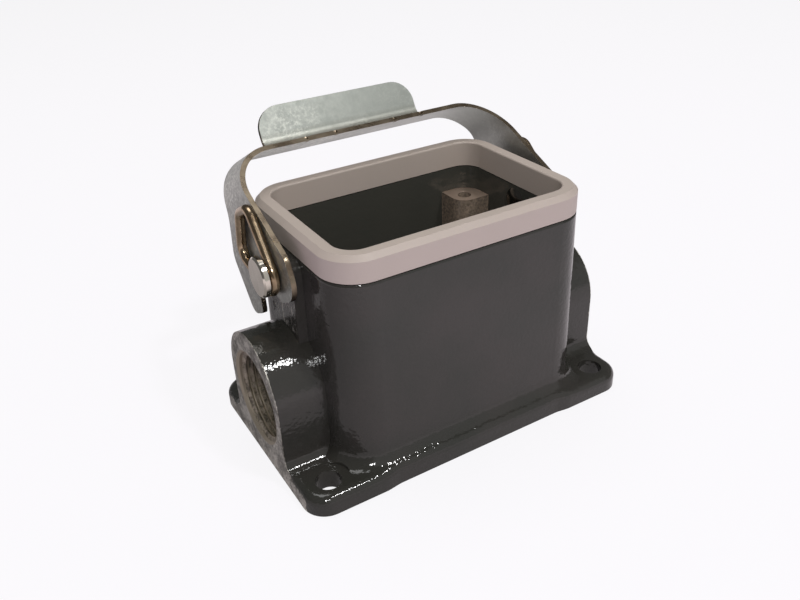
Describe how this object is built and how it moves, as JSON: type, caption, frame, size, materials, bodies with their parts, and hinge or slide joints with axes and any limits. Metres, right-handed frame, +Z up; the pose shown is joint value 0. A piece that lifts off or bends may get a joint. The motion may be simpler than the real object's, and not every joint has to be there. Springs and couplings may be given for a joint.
{
  "type": "heavy duty rectangular connector housing",
  "caption": "Surface-mounting metal housing of a rectangular connector, with cable entries in both ends, a grey rim gasket and a swinging locking lever.",
  "frame": {"origin": "centre of the mounting plate's underside", "axes": "+X along the plate towards one cable entry, +Y towards the side that the open lever leans to, +Z up out of the open top"},
  "size_m": [0.082, 0.0615, 0.0644],
  "materials": {
    "housing_paint": "die-cast aluminium under black textured enamel, machined bare at the end faces",
    "seal_rubber": "matt pale grey moulded rubber",
    "lever_sheet": "zinc-plated steel sheet, satin",
    "bright_steel": "bright nickel-plated steel",
    "spring_wire": "drawn round spring steel with a thin bronze-coloured plating"
  },
  "bodies": {
    "housing": {"housing": "housing_paint", "seal": "seal_rubber", "pivot_pin_left": "bright_steel", "pivot_pin_right": "bright_steel"},
    "lever": {"locking_lever": "lever_sheet", "lever_spring_left": "spring_wire", "lever_spring_right": "spring_wire"}
  },
  "joints": [
    {"name": "lever_hinge", "type": "hinge", "parent": "housing", "child": "lever", "pos_m": [0, 0, 0.0425], "axis": [1, 0, 0], "range_deg": [0, 117]}
  ]
}
